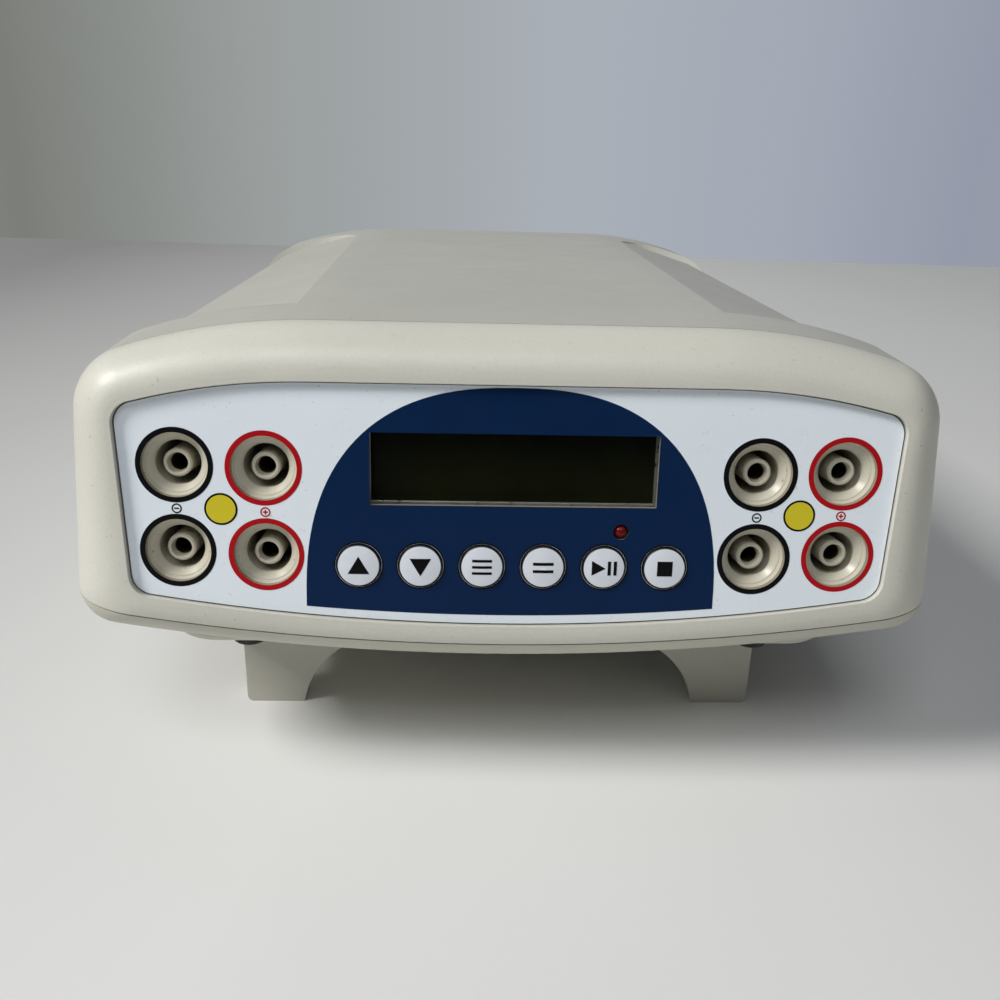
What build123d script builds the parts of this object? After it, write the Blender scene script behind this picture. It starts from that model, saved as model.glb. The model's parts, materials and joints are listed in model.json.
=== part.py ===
from build123d import *
import math
import os

# Every size is in millimetres. The pieces are drawn in the chassis frame: X to the right, Y to the
# back, Z up, with the flat underside of the housing at Z = 0. At the end the whole unit is leaned
# back onto its propped-up stand, and the origin is put under its middle, on the bench.

# Housing
SEAM_Y = 18.6          # joint between the front bezel and the covers
BAND_Y = 36.7          # rear edge of the flared band of the top cover
ROLL_Y = 283.0         # where the rounded rear edge starts
REAR_Y = 290.0
TOP_Z = 85.5
BAND_RISE = 0.9        # the top is this much higher behind the band
FLAT_HALF = 46.0       # half width of the flat middle of the top
CROWN_R = 145.0        # slope from the flat middle to the shoulders
SHOULDER_R = 15.0
SIDE_HIGH = (100.1, 80.0)
SIDE_LOW = (104.8, 21.5)
BASE_Z = 4.0           # middle of the bowed underside
BASE_BOW_R = 600.0
BASE_CORNER_R = 9.0
WALL = 2.6
SPLIT_Z = 12.4         # joint between the upper pieces and the bottom cover, at the middle
SPLIT_BOW_R = 600.0
SEAM_GAP = 0.3
COVER_GAP = 0.5        # groove between bezel and top cover
REAR_INSET = 5.0
REAR_LIP = 7.0         # width of the lip round the rear panel; its lower edge runs under the split

# Pan under the housing
PAN_HALF = 89.5
PAN_FRONT_Y = 20.9
PAN_REAR_Y = 281.0
PAN_CORNER_R = 14.0
PAN_EDGE_R = 5.4
PAN_TOP_Z = 16.0

# Front panel: origin of its plane, lean, and heights up the plane
PANEL_Y = 0.6
PANEL_Z = 5.5
PANEL_LEAN = 6.23
REF_Z = 45.0
RIM = 1.5              # the bezel stands this far proud of the overlay
OVERLAY_T = 1.0
PLATE_T = 2.5
FACE_TOP = 70.0
FACE_FLAT = 47.0
FACE_CROWN_R = 152.0
FACE_HIGH = (91.0, 60.0)
FACE_LOW = (89.2, 20.0)
FACE_BOTTOM = 10.3
FACE_BOW_R = 525.0
FACE_CORNER_R = 6.0
OVERLAY_INSET = 1.7
OVERLAY_GAP = 0.35

# Controls on the panel, as (u, v) across and up the panel
KEY_V = 26.2
KEY_PITCH = 14.28
KEY_R = 5.0
KEY_GAP = 0.3
KEY_TRAVEL = 0.5
KEY_STEM_END = -6.3
KEY_NAMES = ("up", "down", "mode", "constant", "run", "stop")
LED_AT = (25.1, 34.8)
LED_R = 1.75
WINDOW_HALF = 33.0
WINDOW_V = (40.6, 57.4)

# 4 mm safety sockets: place, then the radii and depths of one
SOCKETS = {
    "left_outer_upper": (-76.6, 49.3),
    "left_outer_lower": (-76.8, 29.3),
    "left_inner_upper": (-56.8, 48.8),
    "left_inner_lower": (-56.8, 28.5),
    "right_inner_upper": (56.8, 48.8),
    "right_inner_lower": (56.8, 28.5),
    "right_outer_upper": (76.6, 49.3),
    "right_outer_lower": (76.8, 29.3),
}
NEGATIVE = ("left_outer_upper", "left_outer_lower", "right_inner_upper", "right_inner_lower")
CUTOUT_R = 7.45        # hole in the overlay
INSERT_R = 7.8
FLANGE_R = 9.6
FLANGE_T = 2.0
LEDGE_R = 6.75
LEDGE_DEPTH = 0.8
FUNNEL_DEPTH = 2.0
GROOVE_R = 5.2
POST_R = 3.25
POST_FRONT = 2.6       # depth of the post's end below the overlay
POST_MOUTH_R = 2.4
PLUG_R = 2.03          # bore for a 4 mm plug
CONTACT_R = 2.7
CONTACT_FRONT = 4.6
BORE_DEPTH = 22.0
GROOVE_END = 22.0
INSERT_END = 25.0
CONTACT_END = 30.0
TAIL_R = 1.2
TAIL_END = 36.5
SEAM_TURN = 22.0       # the turned pieces start their sweep at this angle, clear of the panel's axes

# Boards behind the panel
FLANGE_BACK = 0.2
BOARD_T = 1.6
CONTROL_N = 12.4
BOSS_U = 43.0
BOSS_R = 2.6
PILOT_R = 1.1
BOSS_V = (19.6, 64.0)
MODULE_GAP = 1.5       # from the plate to the display module
OUTPUT_N = CONTACT_END
LCD_CENTRE_V = 49.3
MODULE_FRONT = -(OVERLAY_T + PLATE_T + MODULE_GAP)

# Tilt stand
PIVOT_Y = 46.5
PIVOT_Z = 5.0
STAND_T = 7.0
STAND_HALF = 73.3
STAND_TIP_Z = -29.2
ARCH_Z = -7.5
ARCH_R = 26.0
ARCH_FLAT = 31.1
TRUNNION_R = 2.5
TRUNNION_L = 3.6
TRUNNION_FIT = 0.06

# Rubber feet
FOOT_X = 69.0
FOOT_FRONT_Y = 34.5
FOOT_REAR_Y = 262.0
FOOT_R = 5.25
FOOT_H = 4.4
FOOT_NAMES = ("front_left", "front_right", "rear_left", "rear_right")

# Grip scoops down the sides of the top cover: corners of their section at the front end, as (x, z)
SCOOP_CREASE = (53.0, 86.2)
SCOOP_KNEE = (93.5, 74.4)
SCOOP_SIDE = (99.3, 64.8)
SCOOP_FOOT_Z = 26.8
SCOOP_BEND_R = 5.0
SCOOP_RISE = 0.0072    # the section climbs this much for each millimetre towards the rear
SCOOP_FRONT_Y = 38.0
SCOOP_END_X = 78.0     # the rear end is furthest back here
SCOOP_END_Y = 256.0
SCOOP_INNER_R = 18.0   # its plan turns tightly towards the middle and gently towards the side
SCOOP_OUTER_R = 40.0
SCOOP_OUTER_TURN = 36.0
SCOOP_END_Z = 80.0     # height at which the rear end has that plan; it slopes back above it
SCOOP_END_SLOPE = 1.1
SCOOP_START_Z = 20.0

# Rear panel
PANEL_REAR_Y = 285.4
PANEL_REAR_T = 2.0
INLET_X = -58.0
INLET_Z = 44.0
SWITCH_X = -20.0
SWITCH_Z = 44.0
ROCKER_TILT = 12.0
DRAWER_DOWN = -9.6     # the drawer's height from the inlet's middle
FLANGE_FRONT = 2.65    # the inlet's face, from the rear panel
PLUG_DEPTH = 16.0
ROCKER_AXIS = 1.8      # the rocker's pins are this far below the rear panel's face

# Inside
MAIN_BOARD_Z = 14.0
BOARD_TOP = MAIN_BOARD_Z + BOARD_T + 0.05
CORE_H = 47.0
CANS = ((-50, 110, 12.5, 40), (-20, 110, 12.5, 40), (-50, 145, 11, 32), (-22, 145, 11, 32))
SINK_Y = (110.0, 210.0)
SINK_H = 44.0
FINS = 7
FIN_PITCH = 6.8
RELAYS = 3
RELAY_PITCH = 20.0
CASE_SCREWS = ((-82.0, 96.0), (82.0, 96.0), (-82.0, 250.0), (82.0, 250.0))
FAR = 400.0            # beyond the object on every side
OUT = 130.0            # beyond its sides and top

TILT = math.degrees(
    math.atan2(-STAND_TIP_Z - FOOT_H, FOOT_REAR_Y - (PIVOT_Y - STAND_T / 2))
)

PANEL = Plane(
    origin=(0, PANEL_Y, PANEL_Z),
    x_dir=(1, 0, 0),
    z_dir=(0, -math.cos(math.radians(PANEL_LEAN)), math.sin(math.radians(PANEL_LEAN))),
)
REF_V = (REF_Z - PANEL_Z) / math.cos(math.radians(PANEL_LEAN))


def on_panel(shape, u=0.0, v=0.0, n=0.0):
    """Puts a shape drawn at the origin, facing +Z, on the front panel."""
    return PANEL.location * Location((u, v, n)) * shape


def upright(y):
    """A vertical plane across the housing, X to the right and Z up, facing the front."""
    return Plane(origin=(0, y, 0), x_dir=(1, 0, 0), z_dir=(0, -1, 0))


def disc(radius, low, high):
    """A cylinder on the Z axis from one height to another."""
    return Location((0, 0, low)) * Cylinder(
        radius, high - low, align=(Align.CENTER, Align.CENTER, Align.MIN)
    )


def block(x, y, z):
    """A box given by its lowest and highest values along each axis."""
    size = (x[1] - x[0], y[1] - y[0], z[1] - z[0])
    return Location((x[0], y[0], z[0])) * Box(*size, align=(Align.MIN, Align.MIN, Align.MIN))


def pad(wide, tall, low, high, x=0.0, y=0.0):
    """A box centred on a place in X and Y, from one height to another."""
    size = (wide, tall, high - low)
    return Location((x, y, low)) * Box(*size, align=(Align.CENTER, Align.CENTER, Align.MIN))


def dome(radius, low, high):
    """Arc of a shallow dome in the X-Z plane, from its edge up to its crown on the axis."""
    rise = high - low
    ball = (radius**2 + rise**2) / (2 * rise)
    half = radius / 2
    return ThreePointArc(
        (radius, low), (half, high - ball + math.sqrt(ball**2 - half**2)), (0, high)
    )


def join(shapes):
    """Fuses a list of shapes into one."""
    total = shapes[0]
    for shape in shapes[1:]:
        total = total + shape
    return total


# Outline of the housing, seen from the front


def outline(s):
    """Flat top, sloped crowns, rounded shoulders, leaning sides and a bowed underside."""
    (hx, hz), (lx, lz) = s["high"], s["low"]

    def side(z):
        return lx + (hx - lx) * (z - lz) / (hz - lz)

    def crown(x):
        return s["top"] - s["crown"] + math.sqrt(s["crown"] ** 2 - (x - s["flat"]) ** 2)

    def bow(x):
        return s["bottom"] + s["bow"] - math.sqrt(s["bow"] ** 2 - x**2)

    top_z = hz
    low_z = lz
    for _ in range(12):
        top_z = crown(side(top_z))
        low_z = bow(side(low_z))
    top_x, low_x = side(top_z), side(low_z)
    mid_x = (s["flat"] + top_x) / 2
    edges = [
        Line((-s["flat"], s["top"]), (s["flat"], s["top"])),
        ThreePointArc((s["flat"], s["top"]), (mid_x, crown(mid_x)), (top_x, top_z)),
        Line((top_x, top_z), (low_x, low_z)),
        ThreePointArc((low_x, low_z), (0, s["bottom"]), (-low_x, low_z)),
        Line((-low_x, low_z), (-top_x, top_z)),
        ThreePointArc((-top_x, top_z), (-mid_x, crown(mid_x)), (-s["flat"], s["top"])),
    ]
    face = make_face(edges)
    for x, z, radius in ((top_x, top_z, s["shoulder"]), (low_x, low_z, s["corner"])):
        corners = [v for v in face.vertices() if abs(abs(v.X) - x) < 0.01 and abs(v.Y - z) < 0.01]
        face = fillet(corners, radius)
    return face


def body_shape(inset=0.0, rise=0.0):
    """The housing's outline behind the seam, shrunk all round by an inset."""
    return {
        "top": TOP_Z + rise - inset,
        "flat": FLAT_HALF,
        "crown": CROWN_R - inset,
        "high": (SIDE_HIGH[0] - inset, SIDE_HIGH[1]),
        "low": (SIDE_LOW[0] - inset, SIDE_LOW[1]),
        "shoulder": SHOULDER_R - inset * 0.8,
        "corner": BASE_CORNER_R - inset * 0.8,
        "bottom": BASE_Z + inset,
        "bow": BASE_BOW_R - inset,
    }


def face_shape(inset=0.0):
    """The outline of the panel face, with heights measured up the leaning plane."""
    return {
        "top": FACE_TOP - inset,
        "flat": FACE_FLAT,
        "crown": FACE_CROWN_R - inset,
        "high": (FACE_HIGH[0] - inset, FACE_HIGH[1]),
        "low": (FACE_LOW[0] - inset, FACE_LOW[1]),
        "shoulder": FACE_CORNER_R - inset * 0.6,
        "corner": FACE_CORNER_R - inset * 0.6,
        "bottom": FACE_BOTTOM + inset,
        "bow": FACE_BOW_R - inset,
    }


def blend(a, b, share, shift_a, shift_b):
    """Mixes two outlines; heights are taken from the reference height of each."""
    heights = {"top", "bottom"}
    mixed = {}
    for key, first in a.items():
        second = b[key]
        if isinstance(first, tuple):
            mixed[key] = (
                first[0] + (second[0] - first[0]) * share,
                (first[1] - shift_a) + ((second[1] - shift_b) - (first[1] - shift_a)) * share,
            )
        elif key in heights:
            low = first - shift_a
            mixed[key] = low + (second - shift_b - low) * share
        else:
            mixed[key] = first + (second - first) * share
    return mixed


def front_roll(inset, depth_n, face_inset):
    """Solid between the seam and the panel: sections along a quarter of an ellipse."""
    seam = body_shape(inset)
    face = face_shape(face_inset)
    face_y = PANEL_Y + REF_V * math.sin(math.radians(PANEL_LEAN))
    face_y -= depth_n * math.cos(math.radians(PANEL_LEAN))
    lift = depth_n * math.sin(math.radians(PANEL_LEAN))
    sections = []
    for turn in (0, 18, 36, 54, 72, 90):
        share = 1 - math.cos(math.radians(turn))
        reach = math.sin(math.radians(turn))
        lean = math.radians(PANEL_LEAN) * reach
        plane = Plane(
            origin=(0, SEAM_Y + (face_y - SEAM_Y) * reach, REF_Z + lift * reach),
            x_dir=(1, 0, 0),
            z_dir=(0, -math.cos(lean), math.sin(lean)),
        )
        sections.append(plane * outline(blend(seam, face, share, REF_Z, REF_V)))
    return loft(sections)


def rear_form(inset=0.0, end=ROLL_Y):
    """Solid of the covers behind the seam, with the flared band at its front."""
    raised = body_shape(inset, BAND_RISE)
    band = loft([upright(SEAM_Y) * outline(body_shape(inset)), upright(BAND_Y) * outline(raised)])
    middle = extrude(upright(BAND_Y) * outline(raised), -(end - BAND_Y))
    return band + middle


def cavity_form():
    """Hollow of the covers, up to just behind the rear panel."""
    return rear_form(WALL, PANEL_REAR_Y + 0.1)


def rear_roll():
    """The rounded rear edge of the covers."""
    sections = []
    for turn in (0, 30, 60, 90):
        inset = REAR_INSET * (1 - math.cos(math.radians(turn)))
        y = ROLL_Y + (REAR_Y - ROLL_Y) * math.sin(math.radians(turn))
        sections.append(upright(y) * outline(body_shape(inset, BAND_RISE)))
    return loft(sections)


def split_half(above, gap):
    """Everything above or below the bowed joint line between the covers."""
    reach = 130.0
    rise = SPLIT_BOW_R - math.sqrt(SPLIT_BOW_R**2 - reach**2)
    z = SPLIT_Z + gap
    end = 150.0 if above else -60.0
    face = make_face(
        [
            ThreePointArc((-reach, z + rise), (0, z), (reach, z + rise)),
            Line((reach, z + rise), (reach, end)),
            Line((reach, end), (-reach, end)),
            Line((-reach, end), (-reach, z + rise)),
        ]
    )
    return extrude(upright(-30) * face, -FAR)


def scoop(side, grow=0.0):
    """Grip scoop: a sloped facet below the top that turns down into the side wall."""
    cut = scoop_section(grow) & scoop_plan(grow)
    cut = cut & block((0, OUT), (SCOOP_FRONT_Y - grow, REAR_Y), (0, OUT))
    return cut if side > 0 else mirror(cut, Plane.YZ)


def scoop_section(grow):
    """The scoop's section, drawn out along the housing and climbing a little to the rear."""
    crease_x, crease_z = SCOOP_CREASE
    knee_x, knee_z = SCOOP_KNEE
    side_x, side_z = SCOOP_SIDE
    slope = (crease_z - knee_z) / (knee_x - crease_x)
    start_x = FLAT_HALF / 2
    foot_x = SIDE_LOW[0] - 0.5
    face = make_face(
        Polyline(
            (start_x, crease_z + (crease_x - start_x) * slope - grow),
            (knee_x - grow * 0.6, knee_z - grow),
            (side_x - grow, side_z),
            (foot_x - grow, SCOOP_FOOT_Z),
            (OUT, SCOOP_FOOT_Z),
            (OUT, OUT),
            (start_x, OUT),
            close=True,
        )
    )
    bends = [v for v in face.vertices() if abs(v.Y - side_z) < 0.01 or abs(v.Y - knee_z + grow) < 0.01]
    face = fillet(bends, SCOOP_BEND_R)
    return extrude(upright(SCOOP_FRONT_Y - 5) * face, REAR_Y, dir=(0, 1, SCOOP_RISE))


def scoop_plan(grow):
    """The scoop's plan, drawn upwards and backwards so that its rounded rear end slopes."""
    back = SCOOP_END_Y + grow * 1.3
    inner_x = SCOOP_END_X - SCOOP_INNER_R - grow * 1.3
    inner_y = SCOOP_END_Y - SCOOP_INNER_R
    half = math.radians(45)
    inner_bend = (
        SCOOP_END_X - (SCOOP_END_X - inner_x) * math.sin(half),
        inner_y + (back - inner_y) * math.cos(half),
    )
    radius = SCOOP_OUTER_R + grow * 1.3
    outer = []
    for share in (0.5, 1.0):
        turn = math.radians(SCOOP_OUTER_TURN * share)
        outer.append((SCOOP_END_X + radius * math.sin(turn), back - radius * (1 - math.cos(turn))))
    front_x = inner_x - (inner_y + OUT) * 0.05
    face = make_face(
        [
            Line((front_x, -OUT), (inner_x, inner_y)),
            ThreePointArc((inner_x, inner_y), inner_bend, (SCOOP_END_X, back)),
            ThreePointArc((SCOOP_END_X, back), *outer),
            Line(outer[1], (OUT, outer[1][1])),
            Line((OUT, outer[1][1]), (OUT, -OUT)),
            Line((OUT, -OUT), (front_x, -OUT)),
        ]
    )
    shift = (SCOOP_START_Z - SCOOP_END_Z) * SCOOP_END_SLOPE
    low = Location((0, shift, SCOOP_START_Z)) * face
    return extrude(low, 160.0, dir=(0, SCOOP_END_SLOPE, 1))


# Front bezel and what the panel carries


def overlay_face(inset):
    """Outline of the printed front sheet."""
    return outline(face_shape(OVERLAY_INSET + inset))


def key_places():
    """Place of each key, from left to right."""
    middle = (len(KEY_NAMES) - 1) / 2
    return {name: ((i - middle) * KEY_PITCH, KEY_V) for i, name in enumerate(KEY_NAMES)}


def window_block(grow, low, high):
    """The display opening as a solid."""
    tall = WINDOW_V[1] - WINDOW_V[0] + 2 * grow
    return pad(2 * (WINDOW_HALF + grow), tall, low, high, y=sum(WINDOW_V) / 2)


def panel_bosses():
    """Places of the screw bosses behind the panel that carry the control board."""
    return [(u, v) for u in (-BOSS_U, BOSS_U) for v in BOSS_V]


def front_bezel():
    """Rolled moulding round the panel, hollow behind, with a plate that carries the sockets."""
    outer = front_roll(0.0, RIM, 0.0)
    inner = front_roll(WALL, -(OVERLAY_T + PLATE_T), 2.0)
    inner = inner + extrude(upright(SEAM_Y) * outline(body_shape(WALL)), -1.0)
    body = (outer - inner) & split_half(True, SEAM_GAP / 2)
    tongue = extrude(upright(SEAM_Y - 4) * outline(body_shape(WALL + 0.15)), -8.0)
    tongue = tongue - extrude(upright(SEAM_Y - 5) * outline(body_shape(WALL + 1.6)), -10.0)
    body = body + (tongue & split_half(True, 4.0))
    recess = extrude(PANEL.offset(-OVERLAY_T) * overlay_face(-OVERLAY_GAP), OVERLAY_T + 6)
    body = body - recess
    cuts = [on_panel(window_block(0.6, -8, 1))]
    for u, v in SOCKETS.values():
        cuts.append(on_panel(disc(INSERT_R + 0.15, -8, 1), u, v))
    for u, v in key_places().values():
        cuts.append(on_panel(disc(KEY_R + KEY_GAP, -8, 1), u, v))
    cuts.append(on_panel(disc(LED_R + 0.25, -8, 1), *LED_AT))
    for cut in cuts:
        body = body - cut
    back = -(OVERLAY_T + PLATE_T)
    for u, v in panel_bosses():
        boss = disc(BOSS_R, -CONTROL_N, back) - disc(PILOT_R, -CONTROL_N - 1, -CONTROL_N + 7)
        body = body + on_panel(boss, u, v)
    return body


def front_overlay():
    """Printed sheet that lies in the bezel's recess, cut out for sockets, keys and display."""
    sheet = extrude(PANEL.offset(-OVERLAY_T) * overlay_face(0.0), OVERLAY_T)
    sheet = sheet - on_panel(window_block(0.0, -3, 1))
    for u, v in SOCKETS.values():
        sheet = sheet - on_panel(disc(CUTOUT_R, -3, 1), u, v)
    for u, v in key_places().values():
        sheet = sheet - on_panel(disc(KEY_R + KEY_GAP, -3, 1), u, v)
    sheet = sheet - on_panel(disc(LED_R + 0.15, -3, 1), *LED_AT)
    return sheet


def key_cap():
    """Key with a low domed top, a retaining flange behind the plate and a stem."""
    flange_top = -(OVERLAY_T + PLATE_T + FLANGE_BACK)
    profile = make_face(
        [
            Line((0, KEY_STEM_END), (1.5, KEY_STEM_END)),
            Line((1.5, KEY_STEM_END), (1.5, flange_top - 1.0)),
            Line((1.5, flange_top - 1.0), (6.1, flange_top - 1.0)),
            Line((6.1, flange_top - 1.0), (6.1, flange_top)),
            Line((6.1, flange_top), (KEY_R, flange_top)),
            Line((KEY_R, flange_top), (KEY_R, 0.35)),
            ThreePointArc((KEY_R, 0.35), (KEY_R - 0.15, 0.58), (KEY_R - 0.5, 0.7)),
            dome(KEY_R - 0.5, 0.7, 1.02),
            Line((0, 1.02), (0, KEY_STEM_END)),
        ]
    )
    return revolve(Plane.XZ * profile, Axis.Z)


def key_switches():
    """Tactile switches under the keys, one solid each, their buttons just below the pressed stems."""
    button = KEY_STEM_END - KEY_TRAVEL - 0.4
    group = []
    for u, v in key_places().values():
        case = pad(6.0, 6.0, -CONTROL_N, -CONTROL_N + 3.5) + disc(1.75, -CONTROL_N + 3.0, button)
        group.append(on_panel(case, u, v))
    return Compound(group)


def run_led():
    """Round indicator lamp with a domed lens and a collar."""
    profile = make_face(
        [
            Line((0, -8.5), (LED_R + 0.25, -8.5)),
            Line((LED_R + 0.25, -8.5), (LED_R + 0.25, -7.3)),
            Line((LED_R + 0.25, -7.3), (LED_R - 0.15, -7.3)),
            Line((LED_R - 0.15, -7.3), (LED_R - 0.15, -1.2)),
            dome(LED_R - 0.15, -1.2, 0.35),
            Line((0, 0.35), (0, -8.5)),
        ]
    )
    return on_panel(revolve(Plane.XZ * profile, Axis.Z), *LED_AT)


def socket_insert():
    """Shrouded socket: stepped funnel, deep groove and the hollow post in its middle."""
    front = -(OVERLAY_T + 0.05)
    flange = -(OVERLAY_T + PLATE_T + 0.05)
    profile = make_face(
        Polyline(
            (CONTACT_R, -INSERT_END),
            (INSERT_R, -INSERT_END),
            (INSERT_R, flange - FLANGE_T),
            (FLANGE_R, flange - FLANGE_T),
            (FLANGE_R, flange),
            (INSERT_R, flange),
            (INSERT_R, front),
            (CUTOUT_R - 0.15, front),
            (LEDGE_R + 0.15, front - LEDGE_DEPTH),
            (LEDGE_R - 0.25, front - LEDGE_DEPTH - 0.1),
            (GROOVE_R + 0.3, front - FUNNEL_DEPTH),
            (GROOVE_R, front - FUNNEL_DEPTH - 0.4),
            (GROOVE_R - 0.1, -GROOVE_END),
            (POST_R + 0.1, -GROOVE_END),
            (POST_R, -POST_FRONT - 0.4),
            (POST_R - 0.35, -POST_FRONT),
            (POST_MOUTH_R, -POST_FRONT),
            (PLUG_R + 0.05, -CONTACT_FRONT),
            (CONTACT_R, -CONTACT_FRONT),
            close=True,
        )
    )
    return Rotation(0, 0, SEAM_TURN) * revolve(Plane.XZ * profile, Axis.Z)


def contact():
    """Tubular contact, closed at the inner end, with a solder tail."""
    profile = make_face(
        Polyline(
            (0, -TAIL_END),
            (TAIL_R, -TAIL_END),
            (TAIL_R, -CONTACT_END),
            (CONTACT_R - 0.02, -CONTACT_END),
            (CONTACT_R - 0.02, -CONTACT_FRONT - 0.02),
            (PLUG_R, -CONTACT_FRONT - 0.02),
            (PLUG_R, -CONTACT_FRONT - BORE_DEPTH),
            (0, -CONTACT_FRONT - BORE_DEPTH - 0.6),
            close=True,
        )
    )
    return Rotation(0, 0, SEAM_TURN) * revolve(Plane.XZ * profile, Axis.Z)


def contacts(negative):
    """The four contacts of one polarity, one solid each."""
    names = [name for name in SOCKETS if (name in NEGATIVE) == negative]
    return Compound([on_panel(contact(), *SOCKETS[name]) for name in names])


def output_board(side):
    """Board on the tails of one side's four contacts."""
    places = [at for name, at in SOCKETS.items() if name.startswith(side)]
    centre = sum(u for u, _ in places) / len(places)
    board = pad(38.0, 40.0, -OUTPUT_N - BOARD_T, -OUTPUT_N, x=centre, y=39.0)
    for u, v in places:
        board = board - Location((u, v, 0)) * disc(TAIL_R + 0.2, -OUTPUT_N - 3, -OUTPUT_N + 1)
    return on_panel(board)


def display_window():
    """Clear pane behind the display opening."""
    back = OVERLAY_T + PLATE_T + 0.1
    return on_panel(window_block(2.6, -back - 1.2, -back))


def lcd_frame():
    """Pressed metal frame of the display module."""
    frame = pad(71.6, 24.0, MODULE_FRONT - 4.0, MODULE_FRONT, y=LCD_CENTRE_V)
    frame = frame - window_block(0.2, MODULE_FRONT - 1.0, MODULE_FRONT + 1)
    hollow = pad(70.4, 22.8, MODULE_FRONT - 5.0, MODULE_FRONT - 0.6, y=LCD_CENTRE_V)
    return on_panel(frame - hollow)


def lcd_glass():
    """Liquid crystal cell inside the frame."""
    front = MODULE_FRONT - 0.7
    return on_panel(pad(70.0, 22.4, front - 2.4, front, y=LCD_CENTRE_V))


def lcd_board():
    """Board of the display module, notched for the indicator lamp."""
    front = MODULE_FRONT - 4.05
    board = pad(80.0, 35.0, front - 1.2, front, y=50.5)
    notch = pad(8.0, 13.0, front - 3.0, front + 3.0, x=LED_AT[0], y=31.0)
    return on_panel(board - notch)


def lcd_spacers():
    """Posts between the display board and the control board."""
    top = MODULE_FRONT - 5.27
    posts = []
    for u in (-37.5, 37.5):
        for v in (36.0, 65.0):
            posts.append(on_panel(disc(1.9, -CONTROL_N + 0.02, top), u, v))
    return Compound(posts)


def control_board():
    """Board behind the keys and the display."""
    front = -CONTROL_N - 0.02
    board = pad(92.0, 50.0, front - BOARD_T, front, y=42.0)
    for u, v in panel_bosses():
        board = board - Location((u, v, 0)) * disc(1.6, -20, 0)
    return on_panel(board)


def pan_screw(head_r, head_h, shank_r, length):
    """Pan-head screw with a cross recess: its head stands on Z = 0 and its shank goes down."""
    head = disc(head_r, 0, head_h)
    head = chamfer(head.edges().sort_by(Axis.Z)[-1], head_h * 0.35)
    for arm in ((head_r * 0.55, head_r * 0.16), (head_r * 0.16, head_r * 0.55)):
        head = head - block((-arm[0], arm[0]), (-arm[1], arm[1]), (head_h * 0.45, head_h + 1))
    return head + disc(shank_r, -length, 0)


def control_screws():
    """Screws that hold the control board on the bezel's bosses."""
    group = []
    for u, v in panel_bosses():
        screw = Rotation(180, 0, 0) * pan_screw(2.4, 1.6, 1.0, 7.0)
        group.append(on_panel(screw, u, v, -CONTROL_N - BOARD_T - 0.05))
    return Compound(group)


# Covers, stand and feet


def top_cover():
    """Upper shell with its flared front band and the two grip scoops."""
    outer = rear_form() + rear_roll()
    inner = cavity_form()
    for side in (-1, 1):
        outer = outer - scoop(side)
        inner = inner - scoop(side, WALL)
    for x, y in CASE_SCREWS:
        inner = inner - Location((x, y, 0)) * disc(4.0, 24.0, TOP_Z + 20)
    opening = extrude(upright(ROLL_Y - 1) * outline(body_shape(REAR_LIP, BAND_RISE)), -20)
    shell = outer - inner - opening
    shell = shell - block((-FAR, FAR), (0, SEAM_Y + COVER_GAP), (-FAR, FAR))
    shell = shell & split_half(True, SEAM_GAP / 2)
    for x, y in CASE_SCREWS:
        shell = shell - Location((x, y, 0)) * disc(1.3, 10.0, 45.0)
    return shell


def stand_pocket(grow):
    """Space in the underside that the folded stand lies in."""
    reach = PIVOT_Y - STAND_TIP_Z + PIVOT_Z
    half = STAND_HALF + 0.4
    y = (PIVOT_Y - STAND_T / 2 - 0.8 - grow, reach + 1.6 + grow)
    return block((-half - grow * 2, half + grow * 2), y, (-1.0 if grow == 0 else 0.0, 9.4 + grow))


def base_vents():
    """Cooling slots through the floor, under the boards."""
    cuts = []
    for side in (-1, 1):
        for i in range(9):
            y = 110.0 + i * 8.0
            slot = extrude(SlotOverall(36.0, 2.8), 10.0)
            cuts.append(Location((side * 46.0, y, -2.0)) * slot)
    return cuts


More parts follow.
